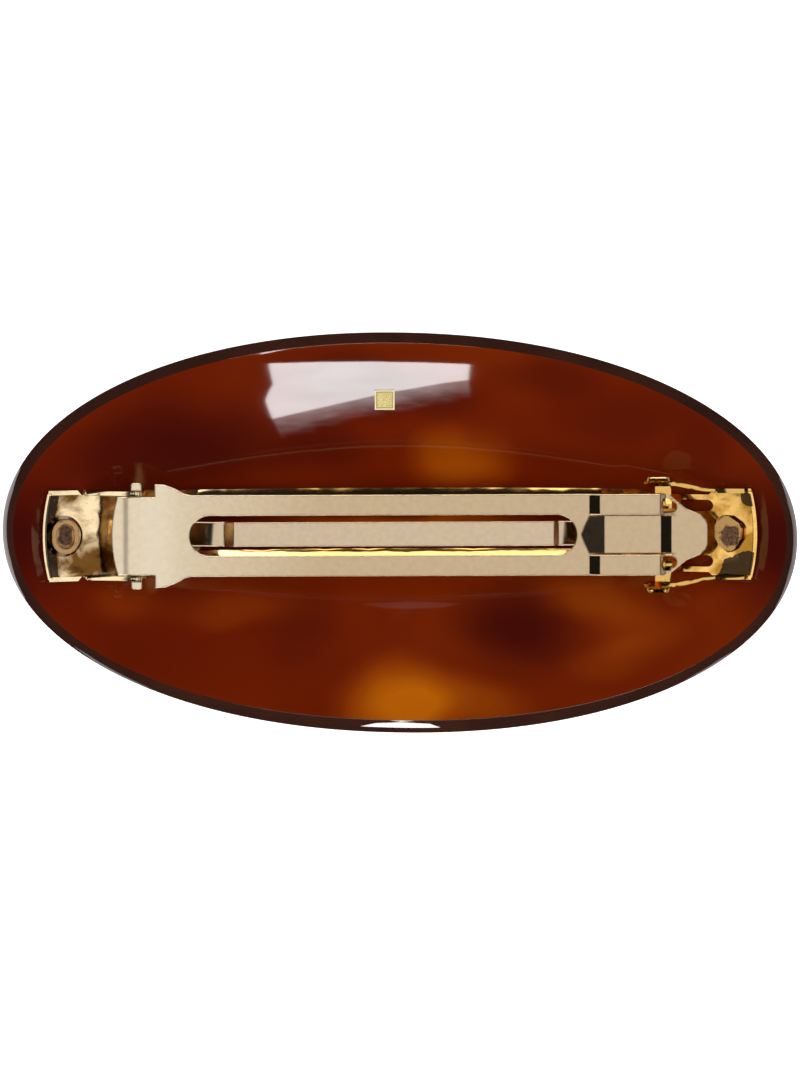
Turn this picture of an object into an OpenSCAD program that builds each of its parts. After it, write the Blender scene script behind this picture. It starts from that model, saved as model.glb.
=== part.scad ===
// Oval domed hair barrette with a riveted French clip, shown closed, in millimetres.
// +Z is the clip side, X runs from the hinge end to the catch end, and the dome rests on z = 0.
// Every strip of the clip follows an arc about one line parallel to Y, at height bend_radius.

/* [Oval plate] */
// Length of the oval plate
plate_length = 90.3; // [88.3:0.5:94.3]
// Width of the oval plate
plate_width = 46.2; // [43.2:0.5:48.2]
// Thickness of the plate
plate_thick = 2.3; // [2.2:0.1:2.8]
// Lengthways radius of the domed face
bend_radius = 98; // [96:0.5:100]
// Crossways radius of the domed face
cross_radius = 39; // [37:0.5:41]
// Turn of the oval against the clip, in degrees
outline_turn = -1.2; // [-3:0.1:3]
// Exponent of the oval outline, 2 for an ellipse
outline_power = 2.08; // [2:0.02:2.2]

/* [Base plate] */
// Sheet thickness of the base
base_thick = 0.5; // [0.4:0.05:0.5]
// Distance of each rounded end of the base from the middle
base_reach = 40.3; // [40:0.1:40.6]
// Half width of the base along the arm
base_half = 4.95; // [4.7:0.05:5]
// Half width of the base's two ends
base_end_half = 5.15; // [5:0.05:5.2]
// Half width of the long slot in the base
base_slot_half = 2; // [1.8:0.1:2.1]
// Height of the rounded crown on each rail of the base
rail_crown = 0.35; // [0.2:0.05:0.4]
// Height of the upturned lip at each end
lip_height = 0.8; // [0.5:0.1:1]
// Distance of the hinge rivet from the middle
hinge_rivet_x = 38.1; // [37.5:0.1:38.3]
// Distance of the catch rivet from the middle
catch_rivet_x = 37.4; // [37:0.1:38]

/* [Hinge] */
// Distance of the hinge line from the middle
hinge_x = 29.8; // [29.6:0.1:30]
// Height of the hinge line
hinge_z = 11.4; // [11.35:0.05:11.5]
// Radius of the arm's two hinge studs
stud_radius = 0.5; // [0.4:0.05:0.55]
// Clearance between a stud and its hole
stud_gap = 0.05; // [0.04:0.01:0.08]

/* [Clasp arm] */
// Height of the arm's top face
arm_top = 12; // [11.9:0.05:12.1]
// Sheet thickness of the arm
arm_thick = 0.6; // [0.5:0.05:0.7]
// Half width of the arm along its slot
arm_half = 4.6; // [4.4:0.05:4.7]
// Half width of the slot in the arm
arm_slot_half = 2.28; // [2.1:0.05:2.4]
// Drop of the rounded tail behind the hinge
tail_drop = 0.14; // [0.08:0.02:0.3]
// Rise of the two side rails near the catch
rail_rise = 0.5; // [0.3:0.1:0.6]
// Drop of the middle tongue near the catch
tongue_drop = 0.5; // [0.3:0.1:0.6]

/* [Tension bar] */
// Half width of the tension bar
bar_half = 1.38; // [1.2:0.05:1.4]
// Sheet thickness of the tension bar
bar_thick = 0.4; // [0.3:0.05:0.45]
// Height of the raised top of the tension bar
bar_top = 9.4; // [9.2:0.1:9.6]

/* [Catch levers] */
// Sheet thickness of each lever
lever_thick = 0.45; // [0.4:0.05:0.5]
// Lean of each finger tab away from the arm, in degrees
tab_lean = 22; // [10:1:30]

/* [Hidden] */
$fn = 64;

tube_centre = bend_radius - cross_radius;
inner_cross = cross_radius - plate_thick;
outline_points = 120;

// the rim leans in as it rises, square to the dome at its ends and at its sides
rim_z_end = bend_radius - sqrt(pow(bend_radius, 2) - pow(plate_length / 2, 2));
rim_z_side = cross_radius - sqrt(pow(cross_radius, 2) - pow(plate_width / 2, 2));
lean_end = tan(asin(plate_length / 2 / bend_radius));
lean_side = tan(asin(plate_width / 2 / cross_radius));
cutter_height = 18;
foot_length = plate_length / 2 + lean_end * rim_z_end;
foot_width = plate_width / 2 + lean_side * rim_z_side;
top_scale = [1 - lean_end * cutter_height / foot_length, 1 - lean_side * cutter_height / foot_width];

// the base's flat section touches the hollow of the plate along its two edges
seat_gap = 0.05;
base_outer = tube_centre + sqrt(pow(inner_cross, 2) - pow(base_end_half, 2)) - seat_gap;
base_inner = base_outer - base_thick;

lip_radius = 21;
lip_thick = 0.4;
notch_x = 36;
notch_depth = 0.6;
waist_x = 28;
crown_reach = 23;

ear_thick = 0.5;
ear_back = 35.5;
ear_top_radius = 0.85;
stud_reach = 6;
stud_root = 4.1;
stud_tip = 5.6;
ear_outer = 5.05;

bar_pivot_x = -25.5;
bar_pivot_z = 7.6;
bar_stud_radius = 0.4;
bar_stud_gap = 0.05;
bar_lug_inner = 1.65;
bar_lug_thick = 0.5;
bar_lug_radius = 0.85;
bar_end_x = 22.4;
bar_slope = [-25, -20.6];
bar_near = [-20, -18.9];
bar_far = [17.5, 18];
bar_step = 0.8;
bar_end_step = 0.45;
bar_end_drop = 0.9;

tongue_half = 2.18;
tongue_gap = 0.08;
tongue_end = 31.1;

window_left = 29.75;
window_right = 30.65;
window_inner = 2.5;
window_outer = 3.76;

tail_bend = [-31.8, -30.2];
rise_bend = [21.4, 22.6];
fall_bend = [29.4, 30];
dip_bend = [20.4, 23.2];
lift_bend = [29.5, 30.7];
arm_end = 34.8;
tail_end = -32.7;
bend_steps = 8;
tab_half = 0.6;

root_x = 35.6;
root_y = 4.95;
root_gap = 0.1;
web_bottom = 10.4;
web_top = 10.85;
post_inner = 2.98;
post_outer = 3.43;
barb_outer = 4.1;
barb_bottom = arm_top + 0.07;
barb_top = arm_top + 0.5;

head_radius = 1.65;
head_stretch = 0.35;
head_height = 0.6;
cup_depth = 0.3;
cup_wall = 0.6;
shank_radius = 1.1;
shank_depth = 2.4;
shank_gap = 0.02;
boss_radius = 2.35;
boss_height = 0.25;
boss_top_radius = 2;

stamp_x = -1.7;
stamp_y = 15.1;
stamp_half = 1.13;
stamp_thick = 0.06;

function power_point(a, half_x, half_y, power) = [
    half_x * sign(cos(a)) * pow(abs(cos(a)), 2 / power),
    half_y * sign(sin(a)) * pow(abs(sin(a)), 2 / power)
];
function ramp(x, bend) = min(1, max(0, (x - bend[0]) / (bend[1] - bend[0])));
function ease(x, bend) = pow(ramp(x, bend), 2) * (3 - 2 * ramp(x, bend));
function spread(bend) = [for (i = [0 : bend_steps]) bend[0] + (bend[1] - bend[0]) * i / bend_steps];
function rail_top(x) = arm_top - tail_drop * (1 - ease(x, tail_bend))
    + rail_rise * (ramp(x, rise_bend) - ramp(x, fall_bend));
function tongue_top(x) = arm_top - tongue_drop * (ramp(x, dip_bend) - ramp(x, lift_bend));
function bar_rise(x) = bar_pivot_z + bar_thick / 2
    + (bar_top - bar_step - bar_pivot_z - bar_thick / 2) * ease(x, bar_slope)
    + bar_step * ramp(x, bar_near) - bar_end_step * ramp(x, bar_far)
    - bar_end_drop * ease(x, [bar_far[1], bar_end_x]);
function sheet_side(xs, tops, thick) = concat(
    [for (i = [0 : len(xs) - 1]) [xs[i], tops[i]]],
    [for (i = [len(xs) - 1 : -1 : 0]) [xs[i], tops[i] - thick]]
);
function arc_height(x, radius) = bend_radius - sqrt(pow(radius, 2) - pow(x, 2));

// a side profile in x and z, made into a sheet of the given width about y
module side_sheet(width) {
    rotate([90, 0, 0])
        linear_extrude(height = width, center = true)
            children();
}

// a plan in x and y, made into a tall prism
module plan_prism() {
    linear_extrude(height = 30)
        children();
}

// a full ring whose section is a circle of the given radius
module dome_ring(radius) {
    translate([0, 0, bend_radius])
        rotate([90, 0, 0])
            rotate_extrude($fn = 180)
                translate([tube_centre, 0])
                    circle(r = radius, $fn = 180);
}

// the sheet between two arcs about the common line
module arc_sheet(inner, outer, width) {
    translate([0, 0, bend_radius])
        rotate([90, 0, 0])
            difference() {
                cylinder(h = width, r = outer, center = true, $fn = 180);
                cylinder(h = width + 1, r = inner, center = true, $fn = 180);
            }
}

// moves to the top face of the base at x, with local z square to the base
module on_base(x) {
    translate([0, 0, bend_radius])
        rotate([0, -asin(x / base_inner), 0])
            translate([0, 0, -base_inner])
                children();
}

module outline_cutter() {
    rotate([0, 0, outline_turn])
        linear_extrude(height = cutter_height, scale = top_scale, slices = 1)
            polygon([for (i = [0 : outline_points - 1])
                power_point(360 * i / outline_points, foot_length, foot_width, outline_power)]);
}

module oval_plate() {
    color([0.35, 0.09, 0.02])
        difference() {
            intersection() {
                dome_ring(cross_radius);
                outline_cutter();
            }
            dome_ring(inner_cross);
            for (x = [-hinge_rivet_x, catch_rivet_x])
                on_base(x)
                    translate([0, 0, -shank_depth - shank_gap])
                        cylinder(h = shank_depth + 1, r = shank_radius + shank_gap);
        }
}

// half of the base's outline, mirrored about y = 0
module base_half_plan() {
    polygon([
        [-base_reach - 1, 0],
        [-base_reach - 1, base_end_half],
        [-notch_x - 0.5, base_end_half],
        [-notch_x, base_end_half - notch_depth],
        [-notch_x + 0.5, ear_outer],
        [-waist_x - 0.7, ear_outer],
        [-waist_x, base_half],
        [27, base_half],
        [29, 4.4],
        [35, 4.4],
        [35.8, base_end_half],
        [base_reach + 1, base_end_half],
        [base_reach + 1, 0]
    ]);
}

// a long plan whose two ends are bowed outwards
module base_end_arc(radius) {
    for (side = [-1, 1])
        translate([side * (base_reach - lip_radius), 0])
            circle(r = radius, $fn = 128);
    square([2 * (base_reach - lip_radius), 2 * radius], center = true);
}

module base_plan() {
    intersection() {
        union() {
            base_half_plan();
            mirror([0, 1])
                base_half_plan();
        }
        base_end_arc(lip_radius);
    }
}

module round_slot(x0, x1, half) {
    translate([x0 + half, -half])
        square([x1 - x0 - 2 * half, 2 * half]);
    for (x = [x0 + half, x1 - half])
        translate([x, 0])
            circle(r = half);
}

module base_openings() {
    round_slot(-23.2, 24, base_slot_half);
    for (side = [-1, 1])
        translate([0, side * 3.15])
            round_slot(31.8, 35.5, 0.65);
}

// one ear, seen from the side: a low wall that rises to the hinge hole
module ear_profile() {
    difference() {
        intersection() {
            union() {
                translate([-hinge_x, hinge_z])
                    circle(r = ear_top_radius);
                polygon([
                    [-ear_back, arc_height(ear_back, base_outer)],
                    [-ear_back, arc_height(ear_back, base_inner) + 0.5],
                    [-hinge_x - 2.2, hinge_z + 0.1],
                    [-hinge_x - 0.6, hinge_z + 0.9],
                    [-hinge_x + ear_top_radius, hinge_z],
                    [-hinge_x + ear_top_radius, arc_height(ear_back, base_outer) - 3]
                ]);
            }
            translate([0, bend_radius])
                circle(r = base_outer, $fn = 180);
        }
        translate([-hinge_x, hinge_z])
            circle(r = stud_radius + stud_gap);
    }
}

// a lug beside the tension bar's end, with the hole for its stud
module bar_lug_profile() {
    difference() {
        intersection() {
            union() {
                translate([bar_pivot_x, bar_pivot_z])
                    circle(r = bar_lug_radius);
                translate([bar_pivot_x - bar_lug_radius, bar_pivot_z - 2])
                    square([2 * bar_lug_radius, 2]);
            }
            translate([0, bend_radius])
                circle(r = base_outer, $fn = 180);
        }
        translate([bar_pivot_x, bar_pivot_z])
            circle(r = bar_stud_radius + bar_stud_gap);
    }
}

// the curved strip that stands up along each end of the base
module end_lips() {
    intersection() {
        difference() {
            plan_prism()
                base_end_arc(lip_radius);
            plan_prism()
                base_end_arc(lip_radius - lip_thick);
        }
        arc_sheet(base_inner - lip_height, base_outer, 2 * base_end_half - 0.6);
        union() {
            translate([-base_reach - 1, -base_end_half, 0])
                cube([3, 2 * base_end_half, 20]);
            translate([base_reach - 2, -base_end_half, 0])
                cube([3, 2 * base_end_half, 20]);
        }
    }
}

// the section of a crowned rail, drawn in distance from the common line and in y
module crown_section() {
    half = (base_half - base_slot_half) / 2;
    radius = (pow(half, 2) + pow(rail_crown, 2)) / (2 * rail_crown);
    intersection() {
        translate([base_inner - rail_crown + radius, base_slot_half + half])
            difference() {
                circle(r = radius, $fn = 96);
                circle(r = radius - base_thick, $fn = 96);
            }
        translate([base_inner - rail_crown - 1, base_slot_half])
            square([rail_crown + 1 + base_thick, 2 * half]);
    }
}

// the two rails between the end parts of the base
module crowned_rails() {
    intersection() {
        translate([0, 0, bend_radius])
            rotate([90, 0, 0])
                rotate_extrude($fn = 180) {
                    crown_section();
                    mirror([0, 1])
                        crown_section();
                }
        translate([-crown_reach, -10, 0])
            cube([2 * crown_reach, 20, 20]);
    }
}

// the flat-topped mound pressed up round a rivet
module boss() {
    rotate_extrude()
        polygon([
            [0, -base_thick / 2],
            [boss_radius, -base_thick / 2],
            [boss_radius, 0],
            [boss_top_radius, boss_height],
            [0, boss_height]
        ]);
}

module base_plate() {
    color([0.8, 0.7, 0.5])
        difference() {
            union() {
                intersection() {
                    arc_sheet(base_inner, base_outer, 20);
                    plan_prism()
                        difference() {
                            base_plan();
                            base_openings();
                            square([2 * crown_reach - 0.4, 20], center = true);
                        }
                }
                crowned_rails();
                end_lips();
                for (side = [-1, 1])
                    translate([0, side * (ear_outer - ear_thick / 2), 0])
                        side_sheet(ear_thick)
                            ear_profile();
                for (side = [-1, 1])
                    translate([0, side * (bar_lug_inner + bar_lug_thick / 2), 0])
                        side_sheet(bar_lug_thick)
                            bar_lug_profile();
                for (x = [-hinge_rivet_x, catch_rivet_x])
                    on_base(x)
                        boss();
                for (side = [-1, 1])
                    translate([0, side * (base_end_half - ear_thick / 2), 0])
                        side_sheet(ear_thick)
                            side_wall_profile();
            }
            for (x = [-hinge_rivet_x, catch_rivet_x])
                on_base(x)
                    translate([0, 0, -base_thick - 0.5])
                        cylinder(h = base_thick + boss_height + 1, r = shank_radius + shank_gap);
        }
}

// the low wall beside the catch rivet, from which a lever springs
module side_wall_profile() {
    intersection() {
        polygon([
            [root_x + root_gap + 0.22, 8],
            [root_x + root_gap + 0.22, 11.6],
            [37, 11.75],
            [38.9, 12.2],
            [38.9, 8]
        ]);
        translate([0, bend_radius])
            circle(r = base_outer, $fn = 180);
    }
}

// the arm's side profile along its rails, with the raised bridge near the catch
module rail_profile() {
    xs = concat([tail_end], spread(tail_bend), rise_bend, fall_bend, [arm_end]);
    polygon(sheet_side(xs, [for (x = xs) rail_top(x)], arm_thick));
}

// the middle of the arm near the catch, pressed down between the rails
module tongue_profile() {
    xs = concat([20], dip_bend, lift_bend, [31.6]);
    polygon(sheet_side(xs, [for (x = xs) tongue_top(x)], arm_thick));
}

// half of the arm's outline, mirrored about y = 0
module arm_half_plan() {
    polygon([
        [-33, 0],
        [-33, 4.43],
        [-hinge_x + 2.1, 4.4],
        [-hinge_x + 2.1, 5.87],
        [-26.6, 5.8],
        [-25.4, 5.35],
        [-24.4, 4.8],
        [-23.6, arm_half],
        [29.7, arm_half],
        [30.5, 4.45],
        [32.4, 2.9],
        [34, 2.25],
        [34.6, 1.6],
        [34.8, 1.1],
        [34.8, 0]
    ]);
}

// the opening for a catch post, rounded towards the tip
module window_plan() {
    radius = (window_outer - window_inner) / 2;
    translate([window_left, window_inner])
        square([window_right - window_left, 2 * radius]);
    translate([window_right, window_inner + radius])
        circle(r = radius);
}

module arm_plan() {
    difference() {
        union() {
            intersection() {
                union() {
                    arm_half_plan();
                    mirror([0, 1])
                        arm_half_plan();
                }
                translate([-17.6, 0])
                    union() {
                        circle(r = 15, $fn = 128);
                        translate([0, -10])
                            square([60, 20]);
                    }
            }
            for (side = [-1, 1])
                translate([-hinge_x, side * (stud_root + stud_reach - 0.3) / 2])
                    square([2 * tab_half, stud_reach - 0.3 - stud_root], center = true);
            for (side = [-1, 1])
                for (end = [-1, 1])
                    translate([-hinge_x + end * (tab_half - 0.3), side * (stud_reach - 0.3)])
                        circle(r = 0.3);
            translate([-hinge_x - tab_half + 0.3, -stud_reach])
                square([2 * tab_half - 0.6, 2 * stud_reach]);
        }
        round_slot(-23.8, 20, arm_slot_half);
        window_plan();
        mirror([0, 1])
            window_plan();
    }
}

// the pressed tongue's outline, whose hinge-side end narrows to a point
module tongue_plan(half, start) {
    polygon([
        [start, 0],
        [start + 1.1, half],
        [tongue_end, half],
        [tongue_end, -half],
        [start + 1.1, -half]
    ]);
}

module clasp_arm() {
    color([0.86, 0.77, 0.58]) {
        intersection() {
            side_sheet(14)
                rail_profile();
            plan_prism()
                difference() {
                    arm_plan();
                    tongue_plan(tongue_half + tongue_gap, dip_bend[0]);
                    for (side = [-1, 1])
                        translate([-hinge_x, side * (ear_outer - ear_thick / 2)])
                            square([2.4 * tab_half, ear_thick + 0.16], center = true);
                }
        }
        intersection() {
            side_sheet(14)
                tongue_profile();
            plan_prism()
                union() {
                    tongue_plan(tongue_half, dip_bend[0] - 0.2);
                    translate([tongue_end - 0.5, -tongue_half])
                        square([1, 2 * tongue_half]);
                }
        }
        for (side = [-1, 1])
            translate([-hinge_x, side * (stud_tip + stud_root) / 2, hinge_z])
                rotate([90, 0, 0])
                    cylinder(h = stud_tip - stud_root, r = stud_radius, center = true);
    }
}

module bar_profile() {
    xs = concat([bar_pivot_x], spread(bar_slope), bar_near, bar_far, spread([bar_far[1] + 0.1, bar_end_x]));
    polygon(sheet_side(xs, [for (x = xs) bar_rise(x)], bar_thick));
}

module tension_bar() {
    color([0.88, 0.8, 0.62]) {
        side_sheet(2 * bar_half)
            bar_profile();
        translate([bar_pivot_x, 0, bar_pivot_z])
            rotate([90, 0, 0])
                cylinder(h = 2 * (bar_lug_inner + bar_lug_thick), r = bar_stud_radius, center = true);
    }
}

// the upright strip of a lever, seen from above
module lever_strip_plan() {
    polygon([
        [root_x, root_y + lever_thick / 2],
        [root_x, root_y - lever_thick / 2],
        [34.2, root_y - 0.1],
        [31.2, 5.5],
        [29.6, 5.55],
        [29.6, 5.95],
        [31.3, 5.95],
        [34.2, root_y + 0.35]
    ]);
    translate([root_x, root_y])
        circle(r = lever_thick / 2);
}

// the same strip from the side, clear of the base below
module lever_strip_profile() {
    polygon([
        [root_x + 0.3, 10.85],
        [root_x + 0.3, 11.7],
        [33, 11.95],
        [31.2, 12.1],
        [29.6, 12],
        [29.6, web_bottom],
        [34, web_bottom]
    ]);
}

module catch_lever() {
    intersection() {
        side_sheet(20)
            lever_strip_profile();
        plan_prism()
            lever_strip_plan();
    }
    translate([29.2, 5.95, 11.65])
        rotate([90 - tab_lean, 0, 0])
            linear_extrude(height = lever_thick, center = true) {
                square([1.1, 2.2], center = true);
                for (side = [-1, 1])
                    translate([side * 0.55, 0])
                        circle(r = 1.1);
            }
    translate([28.9, post_inner, web_bottom])
        cube([1.8, 5.75 - post_inner, web_top - web_bottom]);
    translate([30, post_inner, web_bottom])
        cube([0.7, post_outer - post_inner, barb_top - web_bottom]);
    translate([30, 0, 0])
        rotate([90, 0, 90])
            linear_extrude(height = 0.7)
                polygon([
                    [post_inner, barb_bottom],
                    [barb_outer, barb_bottom],
                    [barb_outer, barb_bottom + 0.15],
                    [post_outer + 0.1, barb_top],
                    [post_inner, barb_top]
                ]);
}

module catch_lever_upper() {
    color([0.84, 0.73, 0.5])
        catch_lever();
}

module catch_lever_lower() {
    color([0.84, 0.73, 0.5])
        mirror([0, 1, 0])
            catch_lever();
}

module rivet_head_plan(radius) {
    for (side = [-1, 1])
        translate([0, side * head_stretch])
            circle(r = radius);
    square([2 * radius, 2 * head_stretch], center = true);
}

// the uneven outline of the flattened head, wider at its upper right
module flat_head_plan() {
    polygon([
        [-1.25, 1.7],
        [-0.7, 2.1],
        [0.1, 2.05],
        [1.35, 1.25],
        [1.6, 0.7],
        [1.5, -0.55],
        [0.8, -1.7],
        [0, -2.1],
        [-1, -1.4],
        [-1.6, -0.35],
        [-1.6, 0.9]
    ]);
}

module rivet_shank() {
    translate([0, 0, -shank_depth])
        cylinder(h = shank_depth + boss_height + head_height - cup_depth, r = shank_radius);
}

module hinge_rivet() {
    color([0.6, 0.45, 0.25])
        on_base(-hinge_rivet_x) {
            rivet_shank();
            translate([0, 0, boss_height])
                difference() {
                    linear_extrude(height = head_height)
                        rivet_head_plan(head_radius);
                    translate([0, 0, head_height - cup_depth])
                        linear_extrude(height = head_height)
                            rivet_head_plan(head_radius - cup_wall);
                }
        }
}

module catch_rivet() {
    color([0.72, 0.6, 0.38])
        on_base(catch_rivet_x) {
            rivet_shank();
            translate([0, 0, boss_height])
                linear_extrude(height = head_height)
                    flat_head_plan();
        }
}

module foil_stamp() {
    color([0.9, 0.72, 0.35])
        intersection() {
            difference() {
                dome_ring(inner_cross);
                dome_ring(inner_cross - stamp_thick);
            }
            translate([stamp_x - stamp_half, stamp_y - stamp_half, 0])
                cube([2 * stamp_half, 2 * stamp_half, 10]);
        }
}

oval_plate();
base_plate();
clasp_arm();
tension_bar();
catch_lever_upper();
catch_lever_lower();
hinge_rivet();
catch_rivet();
foil_stamp();
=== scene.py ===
import math

import bmesh
import bpy
from mathutils import Matrix, Vector


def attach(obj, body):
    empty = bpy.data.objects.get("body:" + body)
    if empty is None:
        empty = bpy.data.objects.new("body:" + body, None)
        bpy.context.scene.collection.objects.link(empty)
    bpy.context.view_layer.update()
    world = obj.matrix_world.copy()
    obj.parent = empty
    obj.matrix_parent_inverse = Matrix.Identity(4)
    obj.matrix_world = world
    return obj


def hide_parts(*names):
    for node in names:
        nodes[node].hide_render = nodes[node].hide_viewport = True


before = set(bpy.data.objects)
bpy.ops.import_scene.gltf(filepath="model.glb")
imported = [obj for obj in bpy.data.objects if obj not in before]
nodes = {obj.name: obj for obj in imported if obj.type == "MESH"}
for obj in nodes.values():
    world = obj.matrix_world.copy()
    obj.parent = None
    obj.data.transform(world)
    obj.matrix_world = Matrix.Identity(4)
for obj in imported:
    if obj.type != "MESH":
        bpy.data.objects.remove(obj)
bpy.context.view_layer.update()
MM = 0.001

# the plate's own shape, in millimetres: the same dome and outline as in the CAD
LENGTH, WIDTH, THICK = 90.3, 46.2, 2.3
BEND, CROSS = 98.0, 39.0
POWER, TURN = 2.08, math.radians(-1.2)

# the clip's own shape, in metres
CURVED_FROM = 0.02305  # beyond this distance from the middle the base is plain curved sheet
LIP_CENTRE = 0.0193  # the middle of the arc that each of the base's end lips follows
LIP_DARK, LIP_INSIDE, LIP_EDGE = 0.0197, 0.0206, 0.02078  # radii: the painted dark reflection band, short of the lip, the lip
HALF_SHEET = 0.00465  # how far the painted reflections and shade at the base's ends reach to each side
STAMP = (-0.0017, 0.0151)  # the foil stamp's centre

# the photo's shape, and the width that it shows at the clip, in metres
PHOTO_SHAPE, PHOTO_WIDTH = 800 / 1067, 0.0905
SENSOR = 36

BLACK, WHITE = (0, 0, 0), (1, 1, 1)


# ---------------------------------------------------------------- materials
class Nodes:
    """A short way to write a material's nodes."""

    def __init__(self, name):
        self.mat = bpy.data.materials.new(name)
        self.mat.use_nodes = True
        self.tree = self.mat.node_tree
        self.tree.nodes.clear()
        self.out = self.new("ShaderNodeOutputMaterial")
        self.bsdf = self.new("ShaderNodeBsdfPrincipled")
        self.link(self.bsdf.outputs[0], self.out.inputs["Surface"])
        self.coords = self.new("ShaderNodeTexCoord").outputs["Object"]

    def new(self, kind, **values):
        n = self.tree.nodes.new(kind)
        for k, v in values.items():
            setattr(n, k, v)
        return n

    def link(self, a, b):
        self.tree.links.new(a, b)

    def put(self, socket, value):
        if hasattr(value, "links"):
            self.link(value, socket)
        else:
            socket.default_value = value

    def math(self, op, a, b=0.0, clamp=False):
        n = self.new("ShaderNodeMath", operation=op, use_clamp=clamp)
        self.put(n.inputs[0], a)
        self.put(n.inputs[1], b)
        return n.outputs[0]

    def vector(self, op, *values):
        """A vector operation on sockets or constants."""
        n = self.new("ShaderNodeVectorMath", operation=op)
        for socket, value in zip(n.inputs, values):
            self.put(socket, value)
        return n.outputs["Value" if op in ("LENGTH", "DOT_PRODUCT") else "Vector"]

    def split(self, vector):
        """The x and y of a vector."""
        n = self.new("ShaderNodeSeparateXYZ")
        self.link(vector, n.inputs[0])
        return n.outputs["X"], n.outputs["Y"]

    def ranged(self, value, source=(0.0, 1.0), target=(0.0, 1.0), kind="LINEAR"):
        """Carries value from the source range to the target range and keeps it inside."""
        n = self.new("ShaderNodeMapRange", interpolation_type=kind)
        self.link(value, n.inputs["Value"])
        for socket, number in zip(("From Min", "From Max", "To Min", "To Max"), (*source, *target)):
            n.inputs[socket].default_value = number
        return n.outputs["Result"]

    def moved(self, offset=(0, 0, 0), scale=(1, 1, 1), coords=None):
        n = self.new("ShaderNodeMapping")
        self.link(coords or self.coords, n.inputs["Vector"])
        n.inputs["Location"].default_value = offset
        n.inputs["Scale"].default_value = scale
        return n.outputs[0]

    def noise(self, scale, detail=3.0, rough=0.5, vector=None, distortion=0.0):
        n = self.new("ShaderNodeTexNoise")
        self.link(vector or self.coords, n.inputs["Vector"])
        n.inputs["Scale"].default_value = scale
        n.inputs["Detail"].default_value = detail
        n.inputs["Roughness"].default_value = rough
        n.inputs["Distortion"].default_value = distortion
        return n.outputs["Fac"]

    def wobble(self, size, scale, detail, rough, vector=None):
        """Noise that swings by up to half of size either way."""
        noise = self.noise(scale, detail, rough, vector)
        return self.math("MULTIPLY", self.math("SUBTRACT", noise, 0.5), size)

    def ramp(self, fac, stops):
        n = self.new("ShaderNodeValToRGB")
        self.link(fac, n.inputs["Fac"])
        e = n.color_ramp.elements
        while len(e) < len(stops):
            e.new(0.5)
        for el, (p, c) in zip(e, stops):
            el.position = p
            el.color = (*c, 1.0)
        return n.outputs["Color"]

    def mix(self, fac, a, b):
        n = self.new("ShaderNodeMix", data_type="RGBA")
        self.put(n.inputs["Factor"], fac)
        self.put(n.inputs["A"], a if hasattr(a, "links") else (*a, 1.0))
        self.put(n.inputs["B"], b if hasattr(b, "links") else (*b, 1.0))
        return n.outputs["Result"]

    def blob(self, centre, size, coords=None):
        """1 in the middle of a soft oval patch in x and y, 0 outside it. Millimetres."""
        m = self.moved(
            (-centre[0] / size[0], -centre[1] / size[1], 0),
            (1000 / size[0], 1000 / size[1], 0),
            coords,
        )
        return self.ranged(self.vector("LENGTH", m), target=(1.0, 0.0), kind="SMOOTHERSTEP")

    def arc_normal(self):
        """The base sheet's true direction at its curved ends, and the mesh's normal elsewhere."""
        geo = self.new("ShaderNodeNewGeometry")
        place = geo.outputs["Position"]
        unit = self.vector("NORMALIZE", self.vector("MULTIPLY_ADD", place, (-1, 0, -1), (0, 0, BEND * MM)))
        x, _ = self.split(place)
        end = self.math("GREATER_THAN", self.math("ABSOLUTE", x), CURVED_FROM)
        # close: within about 3 degrees of the mesh's own direction
        cosine = self.vector("DOT_PRODUCT", unit, geo.outputs["True Normal"])
        close = self.math("GREATER_THAN", cosine, 0.9985)
        pick = self.new("ShaderNodeMix", data_type="VECTOR")
        self.link(self.math("MULTIPLY", end, close), pick.inputs["Factor"])
        self.link(geo.outputs["Normal"], pick.inputs[4])
        self.link(unit, pick.inputs[5])
        return pick.outputs[1]

    def rounded(self, radius):
        """The mesh's normal, bent round the edges as if they were rounded to this radius."""
        n = self.new("ShaderNodeBevel")
        n.samples = 6
        n.inputs["Radius"].default_value = radius
        return n.outputs["Normal"]

    def bump(self, height, distance, strength=1.0, normal=None):
        n = self.new("ShaderNodeBump")
        if normal:
            self.link(normal, n.inputs["Normal"])
        self.link(height, n.inputs["Height"])
        n.inputs["Distance"].default_value = distance
        n.inputs["Strength"].default_value = strength
        self.link(n.outputs["Normal"], self.bsdf.inputs["Normal"])


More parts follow.
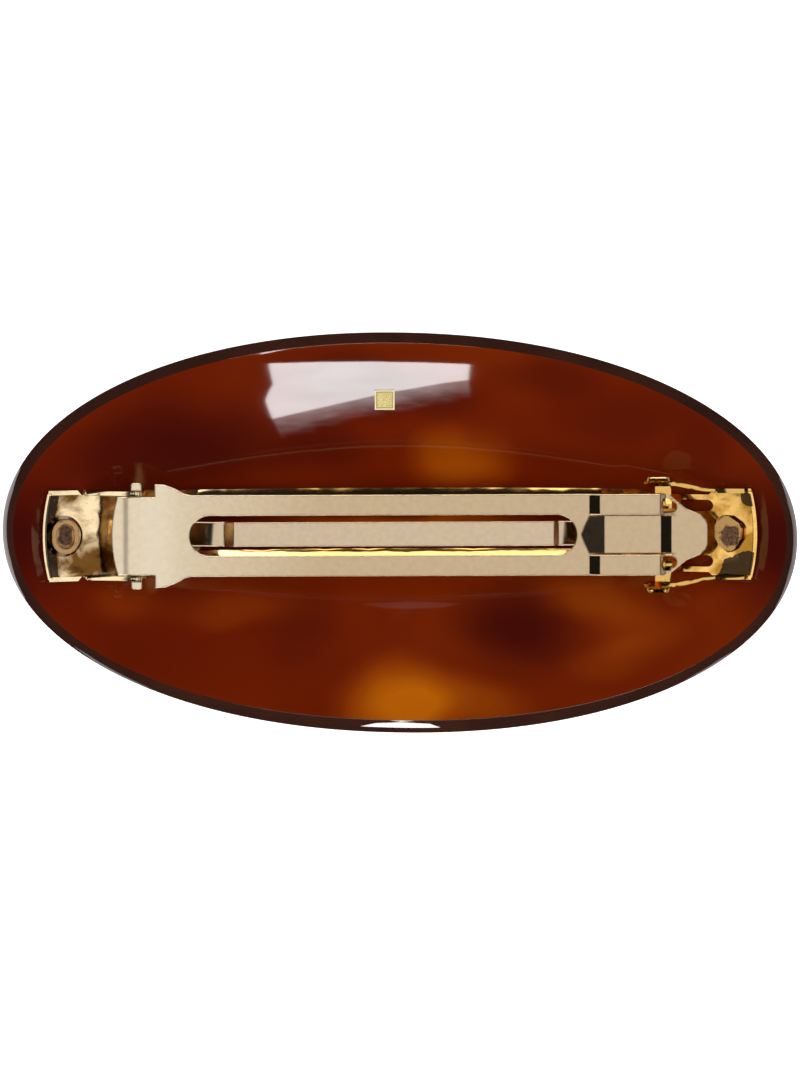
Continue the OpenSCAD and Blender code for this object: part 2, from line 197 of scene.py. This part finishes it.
def acetate():
    """Polished tortoiseshell: a red ground with amber and dark clouds, a painted bright strip under the
    clip, and a polished rim painted dark brown as painted shade.
    """
    m = Nodes("acetate")
    warp = m.new("ShaderNodeTexNoise")
    m.link(m.coords, warp.inputs["Vector"])
    warp.inputs["Scale"].default_value = 60
    warp.inputs["Detail"].default_value = 2.0
    where = m.vector("MULTIPLY_ADD", warp.outputs["Color"], (0.006, 0.006, 0.0), m.coords)
    where = m.vector("SUBTRACT", where, (0.003, 0.003, 0.0))

    base = m.ramp(
        m.noise(38, 2.0, 0.45, vector=where),
        [
            (0.30, (0.108, 0.0078, 0.0007)),
            (0.50, (0.138, 0.0115, 0.0008)),
            (0.70, (0.165, 0.0165, 0.0009)),
        ],
    )
    # the amber clouds and one painted light patch: centre and size in millimetres, and strength
    amber = [
        ((-0.5, -19.0), (11.5, 8.6), 1.0),
        ((9.0, -19.5), (14.0, 5.0), 0.5),
        ((7.0, 8.4), (10.0, 6.5), 0.62),
        ((23.0, -7.5), (12.0, 5.0), 0.46),
        ((29.0, -11.5), (9.0, 5.0), 0.36),
        ((24.0, -15.0), (10.0, 5.0), 0.34),
        ((-20.0, -8.5), (10.0, 4.0), 0.32),
        ((-31.0, -7.5), (8.0, 5.0), 0.26),
        ((-12.0, -9.5), (7.0, 4.0), 0.18),
        ((0.5, -9.5), (4.5, 3.0), 0.2),
        ((20.0, 11.0), (12.0, 5.0), 0.10),
        # painted light: a bright amber strip under the clip, seen through the base's slot, where the arm
        # and bar shade the plate
        ((0.0, 1.0), (24.0, 2.4), 0.75),
    ]
    total = None
    for c, s, k in amber:
        part = m.math("MULTIPLY", m.blob(c, s, where), k)
        total = part if total is None else m.math("ADD", total, part)
    streak = m.wobble(0.35, 90, 3.0, 0.5, vector=where)
    lit = m.math("ADD", total, m.math("MULTIPLY", streak, m.math("MINIMUM", total, 1.0)), clamp=True)
    lit_color = m.ramp(
        lit,
        [
            (0.0, (0.110, 0.0075, 0.0008)),
            (0.35, (0.19, 0.023, 0.0010)),
            (0.65, (0.30, 0.055, 0.0012)),
            (1.0, (0.48, 0.115, 0.002)),
        ],
    )
    fac = m.math("MULTIPLY", lit, 4.0, clamp=True)
    color = m.mix(fac, base, lit_color)
    dark = [
        ((-24.0, 10.5), (20.0, 9.0), 0.95),
        ((-33.0, 8.0), (9.0, 9.0), 0.7),
        ((-9.0, 9.5), (9.0, 6.0), 0.6),
        ((-22.0, 3.0), (14.0, 6.0), 0.5),
        ((-4.0, 17.0), (20.0, 7.0), 0.85),
        ((6.5, 14.5), (8.0, 3.5), 0.5),
        ((17.0, 17.5), (10.0, 4.0), 0.5),
        ((14.3, -11.5), (12.5, 8.0), 0.95),
        ((-11.0, -11.8), (7.5, 7.5), 0.45),
        ((35.0, 9.5), (7.0, 8.0), 0.5),
        ((26.0, 14.0), (14.0, 6.0), 0.45),
        ((-43.0, 0.0), (11.0, 15.0), 1.0),
        ((42.5, -1.0), (11.0, 15.0), 1.0),
    ]
    for c, s, k in dark:
        color = m.mix(m.math("MULTIPLY", m.blob(c, s, where), k), color, (0.050, 0.0030, 0.0016))
    rim = m.new("ShaderNodeAttribute", attribute_name="rim").outputs["Fac"]
    # painted shade: the rim's faces get a dark brown that stands in for the thick acetate seen edge-on and
    # the dark that the rim reflects
    edge = m.ramp(m.noise(120, 3.0, 0.5), [(0.3, (0.026, 0.009, 0.006)), (0.7, (0.042, 0.014, 0.008))])
    m.link(m.mix(rim, color, edge), m.bsdf.inputs["Base Color"])
    m.bsdf.inputs["Roughness"].default_value = 0.04
    m.bsdf.inputs["IOR"].default_value = 1.49
    m.bump(m.noise(160, 2.0, 0.5), 0.00002, 0.25)
    return m.mat


def lip_reach(m, x, y):
    """The distance in metres from the middle of the arc that the nearer end lip follows."""
    flat = m.new("ShaderNodeCombineXYZ")
    m.link(m.math("SUBTRACT", m.math("ABSOLUTE", x), LIP_CENTRE), flat.inputs["X"])
    m.link(y, flat.inputs["Y"])
    return m.vector("LENGTH", flat.outputs[0])


def on_sheet(m, y, reach, radius):
    """1 on the base's end sheet within this radius of the arc's middle, 0 elsewhere."""
    inside = m.math("LESS_THAN", reach, radius)
    return m.math("MULTIPLY", inside, m.math("LESS_THAN", m.math("ABSOLUTE", y), HALF_SHEET))


def painted_end_reflections(m, x, y):
    """How far painted reflection darkens the base's two ends: warm cloudy patches of painted shade, darkest
    beyond the rivets, a painted bright spot on the hinge end, and a clean lip.
    """
    # painted reflections: this mask sets where the base's ends are painted dark, in place of real
    # reflections
    ends = m.ramp(m.math("ABSOLUTE", x), [(0.031, BLACK), (0.034, WHITE)])
    clouds = m.noise(420, 3.0, 0.55, distortion=0.6)
    clouds = m.ramp(clouds, [(0.40, (0.1, 0.1, 0.1)), (0.62, (0.85, 0.85, 0.85))])
    total = m.math("MULTIPLY", ends, clouds)
    for centre, size, k in [
        ((-39.7, 0.0), (1.7, 8.0), 1.3),
        ((-34.5, -3.0), (5.0, 3.2), 1.1),
        ((-37.5, 4.6), (2.6, 1.6), 0.7),
        ((39.4, -2.6), (2.2, 4.5), 1.3),
        ((37.6, -4.4), (3.0, 2.0), 1.2),
        ((39.4, 4.0), (1.5, 1.8), 1.0),
    ]:
        total = m.math("ADD", total, m.math("MULTIPLY", m.blob(centre, size), k))
    # painted highlight: a brighter spot on the hinge end's sheet
    bright = m.math("MULTIPLY", m.blob((-34.0, 2.2), (2.8, 2.8)), 1.2)
    total = m.math("SUBTRACT", total, bright, clamp=True)
    return m.math("MULTIPLY", total, on_sheet(m, y, lip_reach(m, x, y), LIP_INSIDE))


def dark_edges(m, x, y):
    """The near-black reflections just inside the base's two end lips."""
    reach = lip_reach(m, x, y)
    deep = m.math("GREATER_THAN", m.math("ADD", reach, m.wobble(0.0009, 500, 2.0, 0.5)), LIP_DARK)
    band = m.math("MULTIPLY", deep, m.math("LESS_THAN", x, 0.0))
    corners = m.math("ADD", m.blob((39.2, -4.5), (5.4, 4.3)), m.blob((39.5, 4.4), (1.7, 2.2)))
    spot = m.math("GREATER_THAN", m.math("ADD", corners, m.wobble(0.5, 700, 3.0, 0.6)), 0.36)
    return m.math("MULTIPLY", m.math("ADD", band, spot, clamp=True), on_sheet(m, y, reach, LIP_EDGE))


def gold(name, color, far_color, rough, ripple=0.0, speck=0.0, arc=False, painted_sheen=0.0):
    """Plated metal, tinted color at the hinge end and far_color towards the catch.

    ripple is the height of slow waves and speck the strength of dark pits. arc adds the painted
    reflections and shade on the base's curved ends and the sheet's true curved normal there, and sheen
    how strongly a painted highlight makes a band at the hinge end paler.
    """
    m = Nodes(name)
    m.bsdf.inputs["Metallic"].default_value = 1.0
    x, y = m.split(m.coords)
    along = m.ranged(x, source=(-0.029, -0.009))
    tint = m.mix(along, color, far_color)
    fine = m.ramp(m.noise(1400, 3.0, 0.6), [(0.35, (0.94, 0.94, 0.94)), (0.65, WHITE)])
    worn = m.new("ShaderNodeMix", data_type="RGBA", blend_type="MULTIPLY")
    worn.inputs["Factor"].default_value = 1.0
    m.link(tint, worn.inputs["A"])
    m.link(fine, worn.inputs["B"])
    tint = worn.outputs["Result"]
    if painted_sheen:
        # painted highlight: a paler band near the hinge end stands in for light falling on the arm's top
        painted_highlight = m.math("MULTIPLY", m.blob((-27.6, 0.0), (3.8, 60.0)), painted_sheen)
        tint = m.mix(painted_highlight, tint, (1.0, 0.90, 0.72))
    if arc:
        # painted reflections: amber-brown patches and near-black bands on the base's curved ends stand in
        # for what the curved metal reflects
        warm = m.mix(along, (0.15, 0.065, 0.014), (0.40, 0.19, 0.022))
        tint = m.mix(painted_end_reflections(m, x, y), tint, warm)
        tint = m.mix(m.math("MULTIPLY", dark_edges(m, x, y), 0.93), tint, (0.02, 0.014, 0.010))
    if speck:
        pits = m.ramp(m.noise(2600, 1.0, 0.5), [(0.70, BLACK), (0.76, WHITE)])
        tint = m.mix(m.math("MULTIPLY", pits, speck), tint, tuple(c * 0.25 for c in color))
    m.link(tint, m.bsdf.inputs["Base Color"])
    dull = m.ranged(m.noise(500, 4.0, 0.6), target=(rough * 0.8, rough * 1.25))
    m.link(dull, m.bsdf.inputs["Roughness"])
    height = m.math("MULTIPLY", m.noise(1.0, 3.0, 0.6, vector=m.moved(scale=(120, 2600, 120))), 0.15)
    if ripple:
        height = m.math("ADD", height, m.math("MULTIPLY", m.noise(260, 2.0, 0.45), ripple))
    m.bump(height, 0.000004, normal=m.arc_normal() if arc else m.rounded(0.00022))
    return m.mat


def rivet_gold(name, centre, inner, ring, core, speck_scale):
    """A rivet head: a bright, slightly rough ring and a dull, grainy middle round centre (mm)."""
    m = Nodes(name)
    disc = m.math("ADD", m.blob(centre, inner), m.wobble(0.9, 900, 2.0, 0.5))
    middle = m.ramp(disc, [(0.10, BLACK), (0.30, WHITE)])
    grain = m.ramp(m.noise(speck_scale, 3.0, 0.7), [(0.38, BLACK), (0.62, WHITE)])
    dark = m.mix(grain, core, tuple(c * 0.3 for c in core))
    m.link(m.mix(middle, ring, dark), m.bsdf.inputs["Base Color"])
    m.link(m.ranged(middle, target=(0.24, 0.55)), m.bsdf.inputs["Roughness"])
    m.link(m.math("SUBTRACT", 1.0, m.math("MULTIPLY", middle, 0.2)), m.bsdf.inputs["Metallic"])
    m.bump(m.noise(1500, 4.0, 0.65), 0.00006, 0.7)
    return m.mat


def foil():
    """Plain gold foil with a fine grain, and a brighter border set off by a groove painted dark as painted
    shade.
    """
    m = Nodes("gold_foil")
    m.bsdf.inputs["Metallic"].default_value = 0.35
    grain = m.noise(7000, 2.0, 0.5)
    leaf = m.ramp(grain, [(0.35, (0.52, 0.40, 0.13)), (0.6, (0.80, 0.68, 0.32))])
    x, y = m.split(m.moved((-STAMP[0], -STAMP[1], 0)))
    far = m.math("MAXIMUM", m.math("ABSOLUTE", x), m.math("ABSOLUTE", y))
    groove_from, border_from = 0.00084, 0.00098
    # painted shade: a dark ring just inside the border, the shade of a pressed groove that the mesh does
    # not have
    groove = m.math("GREATER_THAN", far, groove_from)
    groove = m.math("MULTIPLY", groove, m.math("LESS_THAN", far, border_from))
    border = m.math("GREATER_THAN", far, border_from)
    leaf = m.mix(border, leaf, (0.92, 0.84, 0.52))
    leaf = m.mix(m.math("MULTIPLY", groove, 0.7), leaf, (0.32, 0.22, 0.06))
    m.link(leaf, m.bsdf.inputs["Base Color"])
    m.bsdf.inputs["Roughness"].default_value = 0.32
    m.bump(grain, 0.00003, 0.6)
    return m.mat


def floor_material():
    """A white ground that glows enough to stay white in the render."""
    m = Nodes("floor")
    grain = m.ramp(m.noise(40, 3.0, 0.5), [(0.3, (0.90, 0.90, 0.90)), (0.7, (0.93, 0.93, 0.93))])
    m.link(grain, m.bsdf.inputs["Base Color"])
    m.bsdf.inputs["Roughness"].default_value = 0.8
    m.bsdf.inputs["Emission Color"].default_value = (1, 1, 1, 1)
    m.bsdf.inputs["Emission Strength"].default_value = 0.9
    return m.mat


ACETATE = acetate()
GOLD = gold("champagne_gold", (0.93, 0.775, 0.55), (0.70, 0.52, 0.32), 0.13, painted_sheen=0.35)
BAR_GOLD = gold("bar_gold", (0.76, 0.60, 0.41), (0.76, 0.59, 0.40), 0.13)
BASE_GOLD = gold(
    "base_gold", (0.95, 0.74, 0.44), (0.92, 0.55, 0.16), 0.12, ripple=45.0, speck=0.4, arc=True
)
HINGE_RIVET = rivet_gold(
    "hinge_rivet_gold", (-37.8, 0.0), (1.2, 1.75), (0.95, 0.55, 0.24), (0.24, 0.12, 0.07), 2600
)
CATCH_RIVET = rivet_gold(
    "catch_rivet_gold", (37.35, -0.2), (1.45, 1.7), (0.98, 0.56, 0.20), (0.34, 0.17, 0.09), 3400
)
FOIL = foil()


def paint(o, mat):
    o.data.materials.clear()
    o.data.materials.append(mat)


# ---------------------------------------------------------------- the plate
def outline(a):
    """The point of the plate's outline at this angle, in millimetres."""
    c, s = math.cos(a), math.sin(a)
    x = LENGTH / 2 * math.copysign(abs(c) ** (2 / POWER), c)
    y = WIDTH / 2 * math.copysign(abs(s) ** (2 / POWER), s)
    return (
        x * math.cos(TURN) - y * math.sin(TURN),
        x * math.sin(TURN) + y * math.cos(TURN),
    )


def dome(x, y, depth):
    """The point depth mm inside the domed face, square to it, over (x, y) on that face."""
    tube = BEND - CROSS
    across = math.sqrt(CROSS**2 - y**2)
    reach = tube + across
    down = math.sqrt(reach**2 - x**2)
    normal = Vector((-x / reach * across / CROSS, -y / CROSS, down / reach * across / CROSS))
    return Vector((x, y, BEND - down)) + normal.normalized() * depth


def rim_slope(a):
    """How far the polished rim leans in at the clip side: most at the near side and the ends."""
    return 0.40 * math.cos(a) ** 2 + (0.165 - 0.255 * math.sin(a)) * math.sin(a) ** 2


def plate():
    """The plate's smooth shell: rings from the middle of the domed face, over the rim, to the clip side."""
    turns, rings = 256, 44
    # the radius of the rim's edge on the domed side and on the clip side, and how far the rim bulges
    soft, crisp, bulge = 0.36, 0.05, 0.10
    angles = [2 * math.pi * i / turns for i in range(turns)]
    quarter = [math.pi / 2 * j / 8 for j in range(9)]
    corner = [(1 - math.sin(q), 1 - math.cos(q)) for q in quarter]
    top = [(crisp * e, THICK - crisp * w) for e, w in corner]
    low = [(soft * e, soft * w) for e, w in corner]
    # each step: the inset from the outline in mm (None on a face), the share of the way out, the depth
    steps = []
    limit = 1 - (soft + bulge) / (LENGTH / 2)
    for k in range(1, rings):
        steps.append((None, k / rings * limit, 0.0))
    side_from = len(steps) + 2
    for e, w in low:
        steps.append((e + bulge, 1.0, w))
    for k in range(1, 10):
        steps.append((bulge * (k / 5 - 1) ** 2, 1.0, soft + (THICK - soft - crisp) * k / 10))
    for e, w in reversed(top):
        steps.append((e + bulge, 1.0, w))
    side_to = len(steps) - 4
    for k in range(rings - 1, 0, -1):
        steps.append((None, k / rings * limit, THICK))
    bm = bmesh.new()
    rim_mark = bm.verts.layers.float.new("rim")
    rows = []
    for count, (e, s, depth) in enumerate(steps):
        row = []
        for a in angles:
            x, y = outline(a)
            r = math.hypot(x, y)
            if e is None:
                edge = bulge * math.sin(a) ** 2 + (crisp + rim_slope(a) if depth else soft)
                far = 1 - edge / r
                f = s / limit * far
            else:
                f = 1 - (e - bulge * math.cos(a) ** 2 + rim_slope(a) * depth / THICK) / r
            vert = bm.verts.new(dome(x * f, y * f, depth) * MM)
            vert[rim_mark] = 1.0 if side_from <= count <= side_to else 0.0
            row.append(vert)
        rows.append(row)
    for p, q in zip(rows, rows[1:]):
        for i in range(turns):
            j = (i + 1) % turns
            bm.faces.new((p[i], q[i], q[j], p[j]))
    low_mid = bm.verts.new(dome(0, 0, 0) * MM)
    top_mid = bm.verts.new(dome(0, 0, THICK) * MM)
    for i in range(turns):
        j = (i + 1) % turns
        bm.faces.new((low_mid, rows[0][i], rows[0][j]))
        bm.faces.new((top_mid, rows[-1][j], rows[-1][i]))
    bmesh.ops.recalc_face_normals(bm, faces=bm.faces)
    mesh = bpy.data.meshes.new("plate_shell")
    bm.to_mesh(mesh)
    bm.free()
    mesh.polygons.foreach_set("use_smooth", [True] * len(mesh.polygons))
    o = bpy.data.objects.new("plate_shell", mesh)
    bpy.context.scene.collection.objects.link(o)
    paint(o, ACETATE)
    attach(o, "barrette")
    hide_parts("oval_plate")
    return o


plate()
paint(nodes["oval_plate"], ACETATE)


# ---------------------------------------------------------------- the metal
def smoothing(limit):
    """A node group that smooths a mesh and keeps edges sharper than limit degrees."""
    g = bpy.data.node_groups.new(f"smooth_{limit}", "GeometryNodeTree")
    g.interface.new_socket("Geometry", in_out="INPUT", socket_type="NodeSocketGeometry")
    g.interface.new_socket("Geometry", in_out="OUTPUT", socket_type="NodeSocketGeometry")
    start, end = g.nodes.new("NodeGroupInput"), g.nodes.new("NodeGroupOutput")
    clean = g.nodes.new("GeometryNodeRemoveAttribute")
    clean.inputs["Name"].default_value = "custom_normal"
    faces = g.nodes.new("GeometryNodeSetShadeSmooth")
    faces.domain = "FACE"
    edges = g.nodes.new("GeometryNodeSetShadeSmooth")
    edges.domain = "EDGE"
    edges.inputs["Shade Smooth"].default_value = False
    angle = g.nodes.new("GeometryNodeInputMeshEdgeAngle")
    sharp = g.nodes.new("FunctionNodeCompare")
    sharp.operation = "GREATER_THAN"
    sharp.inputs["B"].default_value = math.radians(limit)
    g.links.new(start.outputs[0], clean.inputs["Geometry"])
    g.links.new(clean.outputs[0], faces.inputs["Geometry"])
    g.links.new(faces.outputs[0], edges.inputs["Geometry"])
    g.links.new(angle.outputs["Unsigned Angle"], sharp.inputs["A"])
    g.links.new(sharp.outputs["Result"], edges.inputs["Selection"])
    g.links.new(edges.outputs[0], end.inputs[0])
    return g


SMOOTH = {limit: smoothing(limit) for limit in (9, 25)}


def soften(o, width, limit):
    """Rounds the sharp edges of a CAD node and smooths its curved faces. Width is in millimetres."""
    weld = o.modifiers.new("weld", "WELD")
    weld.merge_threshold = 2e-6
    if width:
        bevel = o.modifiers.new("bevel", "BEVEL")
        bevel.width = width * MM
        bevel.segments = 3
        bevel.limit_method = "ANGLE"
        bevel.angle_limit = math.radians(50)
        bevel.use_clamp_overlap = True
    smooth = o.modifiers.new("smooth", "NODES")
    smooth.node_group = SMOOTH[limit]
    flat = o.modifiers.new("flat", "WEIGHTED_NORMAL")
    flat.keep_sharp = True
    flat.weight = 100


for name, mat, width, limit in [
    ("base_plate", BASE_GOLD, 0.08, 25),
    ("clasp_arm", GOLD, 0.08, 9),
    ("tension_bar", BAR_GOLD, 0.08, 9),
    ("catch_lever_upper", BASE_GOLD, 0.06, 25),
    ("catch_lever_lower", BASE_GOLD, 0.06, 25),
    ("hinge_rivet", HINGE_RIVET, 0.14, 25),
    ("catch_rivet", CATCH_RIVET, 0.14, 25),
    ("foil_stamp", FOIL, 0.0, 25),
]:
    paint(nodes[name], mat)
    soften(nodes[name], width, limit)


# ---------------------------------------------------------------- camera
TILT, ROLL, FAR = math.radians(3.4), math.radians(-0.2), 0.6
SIGHT = Vector((0, math.sin(TILT), math.cos(TILT)))
TARGET = Vector((0.0, 0.00019, 0.0115))


def camera():
    """The photo's view: from almost straight above the clip, a little on the foil stamp's side."""
    data = bpy.data.cameras.new("camera")
    data.sensor_width = SENSOR
    data.lens = SENSOR * PHOTO_SHAPE * FAR / PHOTO_WIDTH
    data.clip_end = 20
    o = bpy.data.objects.new("camera", data)
    bpy.context.scene.collection.objects.link(o)
    turn = Matrix.Rotation(-TILT, 4, "X") @ Matrix.Rotation(ROLL, 4, "Z")
    o.matrix_world = Matrix.Translation(TARGET + SIGHT * FAR) @ turn
    bpy.context.scene.camera = o


camera()


# ---------------------------------------------------------------- floor and light
def floor():
    """A floor just under the plate, left out of reflections."""
    bpy.ops.mesh.primitive_plane_add(size=6, location=(0, 0, -0.0004))
    o = bpy.context.object
    o.name = "floor"
    o.visible_glossy = False
    paint(o, floor_material())


floor()

AIM = Vector((0, 0, 0.009))


def lean(along_x, along_y):
    """A direction that leans from straight up by these angles, in degrees, towards +X and +Y."""
    return Vector((math.tan(math.radians(along_x)), math.tan(math.radians(along_y)), 1.0)).normalized()


def lights_only(o, names):
    """Lets a light or card reach only these nodes."""
    group = bpy.data.collections.new(o.name + "_reach")
    for name in names:
        group.objects.link(bpy.data.objects[name] if name == "plate_shell" else nodes[name])
    o.light_linking.receiver_collection = group


def softbox(name, towards, distance, width, height, radiance, mirrored=True):
    """A rectangular light seen from the object in the direction towards. Radiance is its brightness."""
    data = bpy.data.lights.new(name, "AREA")
    data.shape = "RECTANGLE"
    data.size, data.size_y = width, height
    data.energy = radiance * width * height * math.pi
    o = bpy.data.objects.new(name, data)
    bpy.context.scene.collection.objects.link(o)
    turn = (-towards).to_track_quat("-Z", "Y").to_matrix().to_4x4()
    o.matrix_world = Matrix.Translation(AIM + towards * distance) @ turn
    o.visible_glossy = mirrored
    return o


def card_material(name, radiance, texture, fade=None):
    """A glowing material with uneven patches, as strong as texture.

    fade holds three points. The glow fades from the first to the second, and stays even along the
    line from the first to the third.
    """
    m = Nodes(name)
    m.tree.nodes.remove(m.bsdf)
    glow = m.new("ShaderNodeEmission")
    m.link(glow.outputs[0], m.out.inputs["Surface"])
    patches = m.noise(9, 4.0, 0.6)
    strength = m.ranged(patches, source=(0.3, 0.7), target=(radiance * (1 - texture), radiance))
    if fade:
        start, end, beside = fade
        along = (beside - start).normalized()
        down = (end - start) - along * (end - start).dot(along)
        down /= down.length_squared
        far = m.math("SUBTRACT", m.vector("DOT_PRODUCT", m.coords, down), start.dot(down))
        near = m.math("SUBTRACT", 1.0, m.math("ADD", far, m.wobble(0.8, 25, 3.0, 0.6)), clamp=True)
        strength = m.math("MULTIPLY", strength, m.math("POWER", near, 1.6))
    m.link(strength, glow.inputs["Strength"])
    return m.mat


def card(name, points, radiance, texture=0.0, fade=None):
    """A flat card seen only in reflections. Points are in metres."""
    mesh = bpy.data.meshes.new(name)
    mesh.from_pydata([tuple(p) for p in points], [], [tuple(range(len(points)))])
    o = bpy.data.objects.new(name, mesh)
    bpy.context.scene.collection.objects.link(o)
    paint(o, card_material(name, radiance, texture, fade))
    o.visible_camera = False
    o.visible_diffuse = False
    return o


def hollow_point(x, y):
    """Where a card, 1 m away, has to be for its reflection to fall at (x, y) mm in the plate's hollow."""
    p = dome(x, y, THICK) * MM
    n = (dome(x, y, THICK + 1) - dome(x, y, THICK)).normalized()
    d = (TARGET + SIGHT * FAR - p).normalized()
    return p + 2 * n.dot(d) * n - d


def hollow_card(name, corners, radiance, texture=0.0, fade=None):
    """A card whose reflection in the plate's hollow covers these corners. fade is as in card_material."""
    ends = [hollow_point(*c) for c in fade] if fade else None
    return card(name, [hollow_point(*c) for c in corners], radiance, texture, ends)


def flat_card(name, x0, x1, y0, y1, radiance, z=-0.2):
    """A level card at height z, which is just above the floor if not given. Millimetres."""
    corners = [(x0, y0), (x1, y0), (x1, y1), (x0, y1)]
    return card(name, [Vector((x, y, z)) * MM for x, y in corners], radiance)


LEVERS = ["catch_lever_upper", "catch_lever_lower"]
RIVETS = ["hinge_rivet", "catch_rivet"]
METAL = ["base_plate", "clasp_arm", "tension_bar", *LEVERS, *RIVETS, "foil_stamp"]

overhead = softbox("overhead", lean(0, -4), 1.2, 0.80, 0.42, 0.84)
lights_only(overhead, METAL)
softbox("fill", lean(0, 4), 1.1, 2.4, 2.4, 1.6, mirrored=False)
softbox("front_fill", lean(8, -50), 1.2, 1.2, 0.8, 2.2, mirrored=False)
for side in (-1, 1):
    edge = softbox(f"edge_box_{side + 1}", lean(0, side * 63), 1.2, 2.0, 0.66, 4.0)
    lights_only(edge, ["clasp_arm", "tension_bar"])
    strip = softbox(f"base_strip_{side + 1}", lean(0, side * 50), 1.2, 1.8, 0.14, 2.2)
    lights_only(strip, ["base_plate", *LEVERS])
    end = softbox(f"end_strip_{side + 1}", lean(side * -41, -5), 1.2, 0.20, 0.35, 1.2)
    lights_only(end, ["base_plate"])
    head_light = softbox(f"head_light_{side + 1}", lean(side * -40, -8), 1.2, 0.62, 0.62, 0.55)
    lights_only(head_light, RIVETS)
for k, towards in enumerate([lean(76, 0), lean(-76, 0), lean(0, 76), lean(0, -76)]):
    low_box = softbox(f"low_box_{k}", towards, 1.2, 2.3, 0.5, 0.4)
    lights_only(low_box, METAL)
under = flat_card("under_bar", -19, 17.5, -1.35, 1.35, 2.6, 8.8)
under.visible_shadow = False
lights_only(under, ["base_plate"])
stamp_light = softbox("stamp_light", lean(0, -52), 1.2, 0.8, 0.7, 0.85)
lights_only(stamp_light, ["foil_stamp"])
window = hollow_card(
    "window",
    [
        (-15.2, 20.6), (8.2, 20.4), (8.0, 18.5), (-0.5, 17.1),
        (-8.0, 15.4), (-14.8, 13.8), (-15.6, 16.1), (-14.7, 18.1),
    ],
    17.5,
    0.12,
)
smoke = hollow_card(
    "window_smoke",
    [
        (-14.8, 13.8), (-8.0, 15.4), (-0.5, 17.1), (8.0, 18.5),
        (8.4, 15.8), (0.0, 14.2), (-7.0, 12.3), (-13.8, 11.4),
    ],
    7.0,
    0.6,
    [(-3.4, 16.4), (-2.9, 13.8), (5.0, 17.9)],
)
glow = hollow_card(
    "low_glow",
    [(-4.5, -8.9), (1.0, -8.6), (7.0, -8.9), (5.0, -9.35), (1.0, -9.5), (-2.0, -9.4)],
    0.45,
    0.3,
)
lit_plate = [window, smoke, glow]
for name, box, radiance in [
    ("left_table", (-78, -50, -15, 15), 2.4),
    ("right_table", (50, 78, -17, 13), 1.6),
    ("near_table", (-46, 46, -31, -25.5), 1.4),
]:
    lit_plate.append(flat_card(name, *box, radiance))
glint = [(-5.5, 8.0), (4.5, 8.0), (3.0, 13.5), (-0.5, 15.5), (-3.5, 13.5)]
lit_plate.append(card("glint", [Vector((x, -40.0, z)) * MM for x, z in glint], 22.0))
for o in lit_plate:
    lights_only(o, ["plate_shell"])

world = bpy.data.worlds.new("studio")
bpy.context.scene.world = world
world.use_nodes = True
sky = world.node_tree.nodes["Background"]
sky.inputs["Color"].default_value = (1, 1, 1, 1)
sky.inputs["Strength"].default_value = 0.012

bpy.context.scene.view_settings.view_transform = "Standard"
